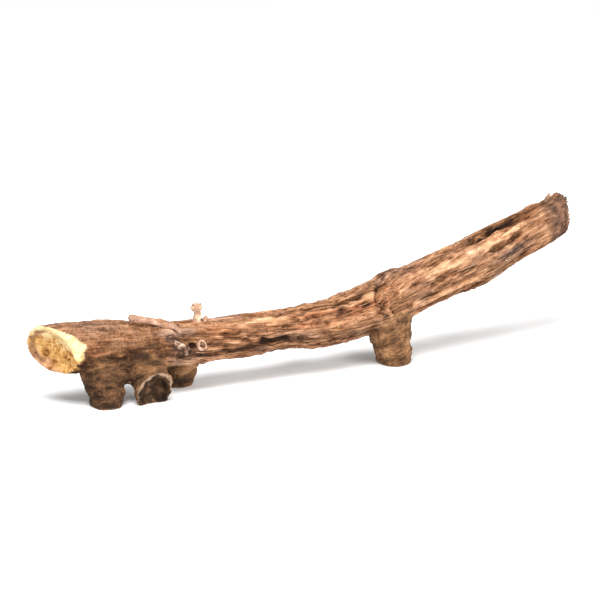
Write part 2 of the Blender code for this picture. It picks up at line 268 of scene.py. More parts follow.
# One splinter stands up at the break: the along, height over the bark and radius of places on its axis
SPIKE_TURN = -4.0
SPIKE = np.array(((67.6, -0.35, 0.30), (68.0, 0.0, 0.26), (68.3, 0.28, 0.20), (68.45, 0.50, 0.10)))

# How many there are of each kind of fibre, and how many flakes on a square millimetre
STRANDS = 150
RIM_FIBRES = 40
FACE_FIBRES = 80
SPLINTERS = 330
HAIRS = 18
FLAKE_DENSITY = 0.42
# Strands and hairs keep to bark that is no further than this from its mean radius
STRAND_BARK = 0.75
HAIR_BARK = 0.6
# A flake's ragged edge, for a flake 1 mm long
FLAKE_EDGE = (
    (0.50, 0.02),
    (0.30, 0.20),
    (0.02, 0.26),
    (-0.30, 0.20),
    (-0.50, -0.04),
    (-0.22, -0.24),
    (0.24, -0.22),
)
RING_POINTS = 26
RING_SINK = 0.03  # how deep a ring's middle line lies in the bark

# The skin's mesh: the straightened root is squashed along its length, so that faces follow the grain
GRAIN_SQUASH = 0.30
VOXEL = 0.097
SMOOTHING_ROUNDS = 9
WELD = 0.0001

# The camera of the photograph, and the stage
PHOTO_AZIMUTH = -30
PHOTO_ELEVATION = 14
FRAME_WIDTH = 70.0  # what the picture shows across the root
LENS = 450
SENSOR = 36
AIM = (-0.61, 0.0, 8.91)  # what the camera and the lamps point at
FLOOR_SIZE = 6000
ROOM_LIGHT = 0.5
# Each lamp's place, size and power
LAMPS = {
    "key": ((-180, -200, 400), 240, 2.9),
    "fill": ((120, -420, 170), 300, 1.9),
}


class Value:
    """A socket of a node tree. Sums on it add Math nodes to its tree."""

    def __init__(self, graph, socket):
        self.graph = graph
        self.socket = socket

    def __add__(self, other):
        return self.graph.maths("ADD", self, other)

    def __radd__(self, other):
        return self.graph.maths("ADD", other, self)

    def __sub__(self, other):
        return self.graph.maths("SUBTRACT", self, other)

    def __rsub__(self, other):
        return self.graph.maths("SUBTRACT", other, self)

    def __mul__(self, other):
        return self.graph.maths("MULTIPLY", self, other)

    def __rmul__(self, other):
        return self.graph.maths("MULTIPLY", other, self)

    def __truediv__(self, other):
        return self.graph.maths("DIVIDE", self, other)

    def __rtruediv__(self, other):
        return self.graph.maths("DIVIDE", other, self)

    def __abs__(self):
        return self.graph.maths("ABSOLUTE", self)


class Graph:
    """One node tree, of a material or of geometry nodes, and short ways to add nodes to it."""

    def __init__(self, tree):
        self.tree = tree

    def node(self, kind, settings=None, inputs=None, output=0):
        """Adds a node. Its settings are set first, then the values or links of its sockets."""
        node = self.tree.nodes.new(kind)
        for name, setting in (settings or {}).items():
            if name == "stops":
                self.set_stops(node.color_ramp, setting)
            else:
                setattr(node, name, setting)
        for name, value in (inputs or {}).items():
            self.feed(node.inputs[name], value)
        return Value(self, node.outputs[output])

    def set_stops(self, ramp, stops):
        """Gives a colour ramp its stops: a place, and red, green and blue as they look."""
        while len(ramp.elements) < len(stops):
            ramp.elements.new(1.0)
        for element, (place, *colour) in zip(ramp.elements, stops):
            element.position = place
            element.color = paint(*colour)

    def feed(self, socket, value):
        """Sets a socket, or links it to another."""
        if isinstance(value, Value):
            self.tree.links.new(value.socket, socket)
        else:
            socket.default_value = value

    def maths(self, operation, *values):
        return self.node("ShaderNodeMath", {"operation": operation}, dict(enumerate(values)))

    def vector(self, operation, *values):
        return self.node("ShaderNodeVectorMath", {"operation": operation}, dict(enumerate(values)))

    def combine(self, x, y, z):
        return self.node("ShaderNodeCombineXYZ", None, {"X": x, "Y": y, "Z": z})

    def times(self, vector, number):
        """A vector made longer by a number."""
        return self.node("ShaderNodeVectorMath", {"operation": "SCALE"}, {0: vector, 3: number})

    def part(self, vector, axis):
        return self.node("ShaderNodeSeparateXYZ", None, {"Vector": vector}, axis)

    def least(self, one, other):
        return self.maths("MINIMUM", one, other)

    def most(self, one, other):
        return self.maths("MAXIMUM", one, other)

    def step(self, value, low, high):
        """0 at low and past it, 1 at high and past it, with a smooth way between."""
        inputs = {"Value": value, "From Min": low, "From Max": high}
        return self.node("ShaderNodeMapRange", {"interpolation_type": "SMOOTHSTEP"}, inputs)

    def spread(self, value, low, high):
        """Stretches low to high over 0 to 1, and clamps."""
        return self.node("ShaderNodeMapRange", None, {"Value": value, "From Min": low, "From Max": high})

    def noise(self, place, scale=1.0, detail=2.0, seed=0.0, roughness=0.5, distortion=0.0):
        inputs = {
            "Vector": place,
            "W": seed,
            "Scale": scale,
            "Detail": detail,
            "Roughness": roughness,
            "Distortion": distortion,
        }
        return self.node("ShaderNodeTexNoise", {"noise_dimensions": "4D"}, inputs)

    def streaks(self, grain, along, across, detail, seed, roughness=0.5, distortion=0.0):
        """Noise drawn out along the grain, by its waves a millimetre along and across it."""
        place = self.scaled(grain, along, across, across)
        return self.noise(place, 1.0, detail, seed, roughness, distortion)

    def blend(self, share, one, other):
        """One colour turning into another."""
        return self.node("ShaderNodeMix", {"data_type": "RGBA"}, {0: share, 6: one, 7: other}, 2)

    def ramp(self, value, *stops):
        """A colour for each value, through stops of its place, red, green and blue."""
        return self.node("ShaderNodeValToRGB", {"stops": stops}, {"Fac": value})

    def scaled(self, place, x, y, z):
        """A place with its parts multiplied."""
        return self.vector("MULTIPLY", place, self.combine(x, y, z))

    def network(self, grain, width, length, seed, sway=0.6):
        """0 in a net of long wavy grooves and 1 on the strands between them, for one strand's size."""
        slow = self.scaled(grain, 0.6 / length, 0.30 / width, 0.30 / width)
        shift = self.node(
            "ShaderNodeTexNoise",
            {"noise_dimensions": "4D"},
            {"Vector": slow, "W": seed + 3.3, "Detail": 1.0},
            "Color",
        )
        place = self.scaled(grain, 1 / length, 1 / width, 1 / width)
        moved = self.vector("ADD", place, self.swung(shift, sway))
        return self.spread(abs(self.noise(moved, 1.0, 1.5, seed) - 0.5), 0.0, 0.15)

    def swung(self, shift, sway):
        """A noise's colour as a shift to either side."""
        centred = self.vector("SUBTRACT", shift, (0.5, 0.5, 0.5))
        return self.scaled(centred, 0.5 * sway, 3.0 * sway, 3.0 * sway)


def paint(red, green, blue):
    """A colour as it looks, 0 to 255, in Blender's linear light."""
    def linear(value):
        share = value / 255
        return share / 12.92 if share <= 0.04045 else ((share + 0.055) / 1.055) ** 2.4

    return (linear(red), linear(green), linear(blue), 1.0)


def ease(share):
    """0 to 1 with a smooth start and end, and flat outside."""
    share = np.clip(share, 0, 1)
    return share * share * (3 - 2 * share)


def rising(value, start, width):
    """0 up to a start, and 1 from a width past it."""
    return ease((value - start) / width)


def falling(value, end, width):
    """1 up to a width before an end, and 0 past it."""
    return ease((end - value) / width)


def run_value(column, along):
    """A column of the root's run at places along it, on a smooth curve through its rows."""
    places, values = STATIONS[:, 0], STATIONS[:, column]
    slopes = np.empty(len(values))
    slopes[1:-1] = (values[2:] - values[:-2]) / (places[2:] - places[:-2])
    slopes[0] = (values[1] - values[0]) / (places[1] - places[0])
    slopes[-1] = (values[-1] - values[-2]) / (places[-1] - places[-2])
    index = np.clip(np.searchsorted(places, along, side="right") - 1, 0, len(places) - 2)
    span = places[index + 1] - places[index]
    t = (along - places[index]) / span
    return (
        values[index] * (2 * t**3 - 3 * t**2 + 1)
        + slopes[index] * span * (t**3 - 2 * t**2 + t)
        + values[index + 1] * (3 * t**2 - 2 * t**3)
        + slopes[index + 1] * span * (t**3 - t**2)
    )


def middle(along):
    """Points of the middle line."""
    return np.stack((along, run_value(Y, along), run_value(Z, along)), axis=-1)


def unit(vectors):
    """Vectors made one long."""
    return vectors / np.linalg.norm(vectors, axis=-1, keepdims=True)


def axes(along):
    """The middle line's direction, the way up across it and the way to the front across it."""
    ahead = unit(middle(along + 0.5) - middle(along - 0.5))
    front = unit(np.cross(ahead, (0.0, 0.0, 1.0)))
    return ahead, np.cross(front, ahead), front


def twist(along):
    """How far the ribs have turned by this place along the root, in degrees."""
    to_bend = np.clip(along - TWIST_START, 0, BEND_AT - TWIST_START)
    return TWIST_TO_BEND * to_bend + TWIST_PAST_BEND * np.maximum(along - BEND_AT, 0)


def on_root(along, turn, radius):
    """Points at places along the root, turns and distances from its middle line, in its own frame."""
    along, turn = np.asarray(along, float), np.radians(turn)
    _, up, front = axes(along)
    across = np.cos(turn)[..., None] * up + np.sin(turn)[..., None] * front
    return middle(along) + np.asarray(radius, float)[..., None] * across


def root_places(points):
    """The along, turn in degrees and radius of points in the root's own frame."""
    along = points[:, 0].copy()
    for _ in range(6):
        ahead, up, front = axes(along)
        offset = points - middle(along)
        along += np.sum(offset * ahead, axis=1) * ahead[:, 0]
    ahead, up, front = axes(along)
    offset = points - middle(along)
    rise, side = np.sum(offset * up, axis=1), np.sum(offset * front, axis=1)
    return along, np.degrees(np.arctan2(side, rise)), np.hypot(rise, side)


def straightened(points):
    """Points of the root as they would be if it were straight and untwisted: x is along."""
    along, turn, radius = root_places(points)
    angle = np.radians(turn - twist(along))
    return np.stack((along, radius * np.cos(angle), radius * np.sin(angle)), axis=1)


def bent(grain):
    """Straightened points back on the root's own run."""
    along = grain[:, 0]
    turn = np.degrees(np.arctan2(grain[:, 2], grain[:, 1])) + twist(along)
    return on_root(along, turn, np.hypot(grain[:, 1], grain[:, 2]))


def frame_shift():
    """Where the root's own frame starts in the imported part's frame, in mm."""
    low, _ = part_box(ROOT)
    return np.array((low.x / MM - LOW_END, -SIDE_SHIFT, 0.0))


def rib_places(along, turn):
    """How far across its rib each point is, from 0 to 1, and how wide that rib is in degrees."""
    number = np.arange(len(FURROWS))
    place = along[:, None]
    wander = np.sin(place / 4.6 + 2.1 * number) + 0.6 * np.sin(place / 2.4 + 3.7 * number)
    furrows = FURROWS + twist(along)[:, None] + FURROW_WANDER * wander
    past_first = (furrows - furrows[:, :1]) % 360
    here = (turn - furrows[:, 0]) % 360
    index = np.sum(past_first <= here[:, None], axis=1) - 1
    rows = np.arange(len(along))
    near = past_first[rows, index]
    far = np.append(past_first, np.full((len(along), 1), 360.0), axis=1)[rows, index + 1]
    return (here - near) / np.maximum(far - near, 1e-6), far - near


def bark_radius(along, turn):
    """The mean radius of the solid's bark there."""
    oval = OVAL * np.cos(2 * np.radians(turn) + along / 9)
    lobes = LOBES * np.cos(3 * np.radians(turn) - along / 6)
    swell = SWELL * (np.sin(along / 2.7) + 0.6 * np.sin(along / 1.3 + 1))
    ribs = MEAN_RIB * run_value(RIB_SHARE, along)
    return run_value(RADIUS, along) * (FURROW_FLOOR + oval + lobes + swell) + ribs


def cut_at(radius, turn):
    """The along of the cut face there."""
    return CUT_SLOPE * radius * np.cos(np.radians(turn - CUT_TURN))


def break_at(radius, turn):
    """The along of the solid's broken end there."""
    return LENGTH + BREAK_SLOPE * radius * np.cos(np.radians(turn))


def unrolled(along, turn, near_turn):
    """Places on the bark laid out flat in mm, with turns counted so that they are near a given one."""
    past = (turn - near_turn + 180) % 360 - 180 + near_turn
    return np.stack((along, np.radians(past) * FLAT_RADIUS), axis=-1)


def beside_path(spots, path):
    """How far spots are from a path on flat bark, and what share of its length is passed there."""
    runs = np.diff(path, axis=0)
    lengths = np.linalg.norm(runs, axis=1)
    passed = np.concatenate(((0,), np.cumsum(lengths)))
    nearest = np.full(len(spots), np.inf)
    share = np.zeros(len(spots))
    for start, run, length, before in zip(path, runs, lengths, passed):
        step = np.clip((spots - start) @ run / length**2, 0, 1)
        away = np.linalg.norm(spots - start - step[:, None] * run, axis=1)
        share = np.where(away < nearest, (before + step * length) / passed[-1], share)
        nearest = np.minimum(nearest, away)
    return nearest, share


def drawn_folds():
    """Folds for the sides that the photograph doesn't show, from a fixed draw."""
    draw = np.random.default_rng(SEED)
    folds = []
    for _ in range(DRAWN_FOLDS):
        start, length = draw.uniform(2, 60), draw.uniform(3, 11)
        turn = draw.uniform(135, 360)
        height = draw.choice((-0.36, -0.26, 0.20, 0.28))
        shares = np.linspace(0, 1, 4)
        along = start + shares * length
        turns = turn + twist(along) - twist(start) + np.cumsum(draw.normal(0, 4, 4))
        folds.append((height, draw.uniform(0.26, 0.5), tuple(zip(along, turns))))
    return tuple(folds)


def fold_height(along, turn):
    """What the single folds add to the bark's height, in mm."""
    height = np.zeros(len(along))
    sway = 3 * np.sin(1.7 * along + 2 * np.radians(turn)) + 2 * np.sin(3.9 * along + 1)
    for rise, width, places in FOLDS + drawn_folds():
        path = np.array(places, float)
        near_turn = path[:, 1].mean()
        spots = unrolled(along, turn + sway, near_turn)
        away, share = beside_path(spots, unrolled(path[:, 0], path[:, 1], near_turn))
        ends = ease(share / 0.22) * ease((1 - share) / 0.22)
        width = width * (1 + 0.25 * np.sin(2.3 * along + 5 * rise))
        height += rise * (0.35 + 0.65 * ends) * np.exp(-((away / width) ** 2)) * (away < 3 * width)
    return np.clip(height, DEEPEST_FOLD, HIGHEST_FOLD)


def tint_shares(along, turn):
    """How far each point is in a rust, a grey and a pale patch. A dark patch counts as less than none."""
    shares = np.zeros((len(along), len(TINT_NAMES)))
    for name, place, middle_turn, half_length, half_width, strength in TINTS:
        offset = unrolled(along, turn, middle_turn) - unrolled(place, np.array(middle_turn), middle_turn)
        away = np.linalg.norm(offset / (half_length, half_width), axis=1)
        column = TINT_NAMES.index(name)
        shares[:, column] += strength * np.exp(-(away**2))
    return shares


def beside_axis(points, start, end):
    """How far points are from an axis, and what share of its length they have passed."""
    run = end - start
    share = (points - start) @ run / (run @ run)
    nearest = start + np.clip(share, 0, 1)[:, None] * run
    return np.linalg.norm(points - nearest, axis=1), share


def stump_axis(along, turn, end):
    """The start and end of a stump's axis in the root's own frame."""
    return on_root(along, turn, STUMP_START), np.array(end)


def short_axis(ends):
    """The start and end of a rootlet's axis in the root's own frame, and its mean radius."""
    start, end = (
        on_root(along, turn, run_value(RADIUS, np.array(along)) + height)
        for along, turn, height, _ in ends
    )
    return start, end, (ends[0][3] + ends[1][3]) / 2


def store(mesh, name, values):
    """Keeps a number, or a vector, for each point of a mesh."""
    kind, field = ("FLOAT_VECTOR", "vector") if values.ndim == 2 else ("FLOAT", "value")
    attribute = mesh.attributes.new(name, kind, "POINT")
    attribute.data.foreach_set(field, values.astype(np.float32).ravel())


def points_of(mesh):
    """A mesh's points as an array."""
    points = np.empty(len(mesh.vertices) * 3)
    mesh.vertices.foreach_get("co", points)
    return points.reshape(-1, 3)


def normals_of(mesh):
    """A mesh's point normals as an array."""
    normals = np.empty(len(mesh.vertices) * 3, np.float32)
    mesh.vertex_normals.foreach_get("vector", normals)
    return normals.reshape(-1, 3).astype(float)


def set_points(mesh, points):
    """Moves a mesh's points."""
    mesh.vertices.foreach_set("co", points.astype(np.float32).ravel())
    mesh.update()


def add_object(name, data):
    """An object in the scene at the origin."""
    obj = bpy.data.objects.new(name, data)
    bpy.context.scene.collection.objects.link(obj)
    return obj


def finished_mesh(obj):
    """What an object's modifiers give, as a plain mesh."""
    bpy.context.view_layer.update()
    return bpy.data.meshes.new_from_object(obj.evaluated_get(bpy.context.evaluated_depsgraph_get()))


def settle(obj, material):
    """Makes the modifiers' result the object's own mesh, with one material."""
    mesh = finished_mesh(obj)
    obj.modifiers.clear()
    obj.data = mesh
    mesh.materials.clear()
    mesh.materials.append(material)
    mesh.shade_smooth()
    return obj


def add_piece(obj):
    """Puts a finished piece on the root's body."""
    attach(obj, BODY)
    return obj


def add_nodes(obj, group, values):
    """Gives an object a geometry nodes modifier with its named inputs set."""
    modifier = obj.modifiers.new(group.name, "NODES")
    modifier.node_group = group
    names = {item.name: item.identifier for item in group.interface.items_tree if item.in_out == "INPUT"}
    for name, value in values.items():
        modifier[names[name]] = value


def new_group(name, sizes, objects=()):
    """A tree of geometry nodes with inputs for numbers and objects, and its inputs by name."""
    tree = bpy.data.node_groups.new(name, "GeometryNodeTree")
    tree.interface.new_socket("Geometry", in_out="INPUT", socket_type="NodeSocketGeometry")
    tree.interface.new_socket("Geometry", in_out="OUTPUT", socket_type="NodeSocketGeometry")
    for size in sizes:
        tree.interface.new_socket(size, in_out="INPUT", socket_type="NodeSocketFloat")
    for item in objects:
        tree.interface.new_socket(item, in_out="INPUT", socket_type="NodeSocketObject")
    graph = Graph(tree)
    source = tree.nodes.new("NodeGroupInput")
    inputs = {socket.name: Value(graph, socket) for socket in source.outputs if socket.name}
    return graph, inputs


def end_group(graph, geometry, material):
    """Ends a tree of geometry nodes in plain geometry with one material."""
    real = graph.node("GeometryNodeRealizeInstances", None, {"Geometry": geometry})
    painted = graph.node("GeometryNodeSetMaterial", None, {"Geometry": real, "Material": material})
    result = graph.tree.nodes.new("NodeGroupOutput")
    graph.feed(result.inputs["Geometry"], painted)
    return graph.tree


def named(graph, name, vector=False):
    """An attribute that was stored on the mesh."""
    kind = "FLOAT_VECTOR" if vector else "FLOAT"
    return graph.node("GeometryNodeInputNamedAttribute", {"data_type": kind}, {"Name": name})


RELIEF = {
    "Furrow depth": 0.09 * MM,
    "Strand height": 0.12 * MM,
    "Strand width": 1.15,
    "Strand length": 7.5,
    "Fibre height": 0.06 * MM,
    "Fibre width": 0.42,
    "Fibre length": 5.0,
    "Lump height": 0.26 * MM,
    "Wrinkle height": 0.12 * MM,
    "Crack depth": 0.10 * MM,
    "Stump wrinkle height": 0.65 * MM,
    "Hollow depth": 0.9 * MM,
    "Chamfer depth": 0.25 * MM,
    "Face depth": 0.24 * MM,
    "Face height": 0.34 * MM,
    "Break height": 0.34 * MM,
    "Scar height": 0.80 * MM,
    "Seed": SEED,
}


def bark_patterns(g, grain, size):
    """The bark's strands, fibres, wrinkles and cross cracks. The relief and the material share them."""
    seed = size["Seed"]
    strands = g.network(grain, size["Strand width"], size["Strand length"], seed)
    fibres = g.network(grain, size["Fibre width"], size["Fibre length"], seed + 11)
    lumps = g.streaks(grain, 0.32, 0.55, 2.0, seed + 23) - 0.5
    wrinkles = g.streaks(grain, 1.5, 1.0, 2.0, seed + 31, 0.55, 1.4)
    creased = g.spread(abs(wrinkles - 0.5), 0.0, 0.15) - 1
    cross = g.streaks(grain, 2.6, 0.45, 1.0, seed + 37, 0.5, 0.5)
    cracks = g.step(abs(cross - 0.5), 0.045, 0.0) * g.step(lumps, -0.02, 0.10)
    return strands, fibres, lumps, creased, cracks


def stump_wrinkles(g, grain, out, size):
    """Uneven rings round a stump, about 0.5 in the mean."""
    around = g.combine(0.34 * g.part(grain, 0), 0.34 * g.part(grain, 2), 1.05 * out)
    return g.noise(around, 1.0, 3.0, size["Seed"] + 67, 0.55, 0.6)


def scar_lumps(g, grain, size):
    """Lumps of torn tissue, about 0.5 in the mean."""
    return g.noise(grain, 1.35, 2.0, size["Seed"] + 61, 0.55, 0.6)


def relief_group(material):
    """Geometry nodes that raise the bark's folds, strands, wrinkles and scars along its normals."""
    g, size = new_group("bark_relief", RELIEF)
    grain = named(g, "grain", vector=True)
    seed = size["Seed"]
    furrow, smooth, fold = named(g, "furrow"), named(g, "smooth"), named(g, "fold")
    cut, broken, stump, scar = (named(g, name) for name in ("cut", "broken", "stump", "scar"))
    strands, fibres, lumps, creased, cracks = bark_patterns(g, grain, size)
    bark = (
        size["Strand height"] * (strands - 1) * (1 - 0.65 * smooth)
        + size["Fibre height"] * (fibres - 1)
        + size["Lump height"] * lumps
        + size["Wrinkle height"] * creased * (0.15 + 0.85 * smooth)
        - size["Crack depth"] * cracks
        - size["Furrow depth"] * furrow
        + fold * MM
    )
    stump_bark = (
        size["Stump wrinkle height"] * (stump_wrinkles(g, grain, named(g, "out"), size) - 0.5)
        + size["Wrinkle height"] * creased
        + size["Lump height"] * lumps * 2.6
        - size["Hollow depth"] * g.step(named(g, "hollow_end"), 0.96, 0.40)
    )
    clots = g.noise(grain, 0.95, 3.0, seed + 43, 0.6, 0.8) - 0.5
    pores = g.noise(grain, 3.0, 2.0, seed + 47) - 0.5
    share = g.part(named(g, "face", vector=True), 0)
    sunken = g.step(share + 0.9 * clots, 0.80, 0.50)
    wood = (
        size["Face height"] * (clots * (0.5 + 1.5 * sunken) + 0.4 * pores)
        - size["Face depth"] * sunken
        - size["Chamfer depth"] * named(g, "chamfer")
    )
    splinters = g.streaks(grain, 0.5, 2.1, 3.0, seed + 53) - 0.5
    snapped = size["Break height"] * splinters * 2.0
    torn = size["Scar height"] * (scar_lumps(g, grain, size) - 0.60)
    height = bark * (1 - stump) + stump_bark * stump
    height = height * (1 - scar) + torn * scar
    height = height * (1 - cut) + wood * cut
    height = height * (1 - broken) + snapped * broken
    position = g.node("GeometryNodeInputPosition")
    clear = g.step(g.part(position, 2), 0.0, 0.5 * MM)
    normal = g.node("GeometryNodeInputNormal")
    moved = g.vector("ADD", position, g.times(normal, height * clear))
    above = g.combine(g.part(moved, 0), g.part(moved, 1), g.most(g.part(moved, 2), 0.0))
    raised = g.node("GeometryNodeSetPosition", None, {"Geometry": size["Geometry"], "Position": above})
    return end_group(g, raised, material)


def skin_mesh():
    """A fine smooth mesh of the whole root, whose faces follow the grain."""
    cage = bmesh.new()
    cage.from_mesh(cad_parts[ROOT].data)
    bmesh.ops.remove_doubles(cage, verts=cage.verts, dist=WELD * MM)
    data = bpy.data.meshes.new("cage")
    cage.to_mesh(data)
    cage.free()
    shift = frame_shift()
    grain = straightened(points_of(data) / MM - shift)
    set_points(data, grain * (GRAIN_SQUASH, 1, 1))
    cage = add_object("cage", data)
    remesh = cage.modifiers.new("even_faces", "REMESH")
    remesh.mode = "VOXEL"
    remesh.voxel_size = VOXEL
    smooth = cage.modifiers.new("no_facets", "SMOOTH")
    smooth.factor = 0.5
    smooth.iterations = SMOOTHING_ROUNDS
    mesh = finished_mesh(cage)
    bpy.data.objects.remove(cage)
    grain = points_of(mesh) / (GRAIN_SQUASH, 1, 1)
    turn = np.arctan2(grain[:, 2], grain[:, 1]) + np.radians(twist(grain[:, 0]))
    upper = ease(0.5 + 0.2 * np.hypot(grain[:, 1], grain[:, 2]) * np.cos(turn - 0.5))
    grain[:, 0] += BREAK_REACH * upper * rising(grain[:, 0], LENGTH - BREAK_STRETCH, BREAK_STRETCH)
    set_points(mesh, (bent(grain) + shift) * MM)
    return mesh, grain


def mark_skin(mesh, grain):
    """Stores on the skin where each point is on the root, and which of its surfaces it belongs to."""
    points = points_of(mesh) / MM - frame_shift()
    normals = normals_of(mesh)
    along, turn, radius = root_places(points)
    ahead = axes(along)[0]
    share, width = rib_places(along, turn)
    closeness = 1 - np.sin(np.pi * share) ** 0.5
    depth = run_value(RIB_SHARE, along) * ease(width / FULL_RIB)
    over = radius - bark_radius(along, turn)
    before_cut = along - cut_at(radius, turn)
    facing_back = -np.sum(normals * ahead, axis=1)
    cut = rising(facing_back, 0.35, 0.35) * falling(before_cut, 1.4, 0.5) * falling(over, 0.35, 0.3)
    reach, middle_turn, half_turn = CHAMFER
    reach = reach * np.exp(-(((turn - middle_turn) / half_turn) ** 2)) + 0.12 * np.sin(turn / 5)
    chamfer = falling(before_cut, reach, 0.35) * (reach > 0.15) * (1 - cut)
    to_break = break_at(radius, turn) - along
    broken = rising(-facing_back, 0.30, 0.35) * falling(to_break, 1.8, 0.6)
    frayed = falling(to_break, 2.6, 1.6) * ease(np.cos(np.radians(turn - FRAYED_TURN)) / 0.6)
    stump, out, hollow_end = np.zeros(len(points)), np.zeros(len(points)), np.full(len(points), 2.0)
    for name, (along_root, leaving, end, size) in STUMPS.items():
        start, tip = stump_axis(along_root, leaving, end)
        away, passed = beside_axis(points, start, tip)
        mask = falling(away, STUMP_SPREAD * size, 0.5) * rising(over, -0.25, 0.6)
        out = np.where(mask > stump, passed * np.linalg.norm(tip - start), out)
        stump = np.maximum(stump, mask)
        if name == "hollow":
            cap = rising(normals @ unit(tip - start), 0.30, 0.3) * rising(passed, 0.5, 0.1)
            hollow_end = np.where(mask > 0.5, 2 - (2 - away / size) * cap, hollow_end)
    scar, rootlet = np.zeros(len(points)), np.zeros(len(points))
    for mask, group in ((scar, SCARS), (rootlet, ROOTLETS)):
        for ends in group.values():
            start, end, size = short_axis(ends)
            away, _ = beside_axis(points, start, end)
            strength = SCAR_STRENGTH if group is SCARS else 1.0
            np.maximum(mask, strength * falling(away, SCAR_SPREAD * size, 0.3), out=mask)
    torn_path = np.array(TORN_SCAR, float)
    spots, torn_path = (unrolled(*places, torn_path[1, 1]) for places in ((along, turn), torn_path.T))
    scar = np.maximum(scar, falling(beside_path(spots, torn_path)[0], TORN_WIDTH, 0.50))
    angle = np.arctan2(grain[:, 2], grain[:, 1])
    rim = bark_radius(along, turn)
    marks = {
        "grain": grain,
        "furrow": closeness * depth * (1 - stump),
        "fold": fold_height(along, turn),
        "ahead": ahead,
        "tint": tint_shares(along, turn),
        "smooth": falling(along, SMOOTH_END, SMOOTH_FADE),
        "cut": np.maximum(cut, chamfer),
        "chamfer": chamfer,
        "broken": np.maximum(broken, 0.85 * frayed),
        "stump": stump,
        "out": out,
        "hollow_end": hollow_end,
        "foot": falling(normals[:, 2], -0.6, 0.3) * falling(points[:, 2], 0.5, 0.3),
        "scar": scar,
        "rootlet": rootlet,
        "face": np.stack((radius / rim, np.sin(angle), np.cos(angle)), axis=1),
        # How far towards the underside a point is; the bark is darkened there as painted shade.
        "under": ease((1 - np.cos(np.radians(turn))) / 2),
    }
    for name, values in marks.items():
        store(mesh, name, values)


def make_skin(material):
    """The whole root's surface, with its relief."""
    mesh, grain = skin_mesh()
    mark_skin(mesh, grain)
    skin = add_object("root_skin", mesh)
    add_nodes(skin, relief_group(material), RELIEF)
    return settle(skin, material)


def new_material(name):
    """A material with only a Principled shader: its graph and the shader's node."""
    material = bpy.data.materials.new(name)
    material.use_nodes = True
    shader = material.node_tree.nodes["Principled BSDF"]
    return material, Graph(material.node_tree), shader


def dress(g, shader, colour, roughness, specular, bump=None):
    """Feeds a Principled shader. A bump is its strength, its distance in mm and its height."""
    g.feed(shader.inputs["Base Color"], colour)
    g.feed(shader.inputs["Roughness"], roughness)
    g.feed(shader.inputs["Specular IOR Level"], specular)
    if bump:
        strength, distance, height = bump
        inputs = {"Strength": strength, "Distance": distance * MM, "Height": height}
        g.feed(shader.inputs["Normal"], g.node("ShaderNodeBump", None, inputs))


def stored(graph, name, output="Fac"):
    """An attribute of the mesh, in a material."""
    return graph.node("ShaderNodeAttribute", {"attribute_name": name}, None, output)


def hairlines(g, grain, seed):
    """Thin long lines along the grain."""
    wave = g.streaks(grain, 0.16, 2.4, 2.0, seed, 0.5, 0.3)
    return g.step(abs(wave - 0.5), 0.045, 0.0)


def bark_tone(g, grain, patterns):
    """How light the bark is, from 0 deep in a furrow to 1 on a worn ridge. Its darkening in furrows,
    creases, cracks and grooves is painted shade, and its lightening on ridges is partly wear and partly a
    painted highlight.
    """
    strands, fibres, _, creased, cracks = patterns
    streak = g.streaks(grain, 0.25, 1.8, 5.0, 1.0, 0.66)
    mottle = g.streaks(grain, 0.50, 0.80, 3.0, 5.0, 0.6)
    speck = g.streaks(grain, 1.8, 5.0, 2.0, 9.0, 0.6)
    smooth, fold = stored(g, "smooth"), stored(g, "fold")
    # Darker in the grooves between strands and fibres: painted shade.
    fine = (
        -0.19 * (1 - strands)
        - 0.10 * (1 - fibres)
        - 0.20 * hairlines(g, grain, 41.0)
        + 0.14 * hairlines(g, grain, 47.0)
        + 0.62 * (streak - 0.5)
        + 0.36 * (speck - 0.5)
    )
    # Lighter on raised folds, partly worn bark and partly a painted highlight; darker in sunk folds,
    # creases, furrows and cracks as painted shade.
    return (
        0.645
        + fine * (1 - 0.45 * smooth)
        + 0.62 * g.most(fold, 0.0)
        + 0.50 * g.least(fold, 0.0)
        + 0.14 * creased * smooth
        + 0.50 * (mottle - 0.5)
        - 0.08 * stored(g, "furrow")
        - 0.12 * cracks
        # Painted shade: darker towards the underside, most along the smooth first part, and a little over
        # all of that part.
        - (0.12 + 0.20 * smooth) * stored(g, "under")
        - 0.05 * smooth
        # Pale patches lighten; the dark ones on the top by the broken end and low at the front are painted
        # shade.
        + 0.14 * g.part(stored(g, "tint", "Vector"), 2)
    )


def bark_ramps(g, tone):
    """The bark's three tints, each from its furrows to its ridges: brown, grey and rust. Their dark ends
    give the painted shade in furrows and creases.
    """
    brown = g.ramp(
        tone,
        (0.06, 42, 23, 11),
        (0.26, 93, 59, 34),
        (0.46, 145, 102, 72),
        (0.64, 176, 133, 100),
        (0.82, 206, 164, 128),
        (1.00, 236, 202, 166),
    )
    grey = g.ramp(
        tone,
        (0.06, 36, 26, 22),
        (0.30, 90, 70, 58),
        (0.60, 152, 124, 108),
        (1.00, 208, 180, 162),
    )
    rust = g.ramp(
        tone,
        (0.06, 40, 18, 8),
        (0.30, 96, 50, 26),
        (0.60, 164, 104, 66),
        (1.00, 226, 172, 120),
    )
    return brown, grey, rust


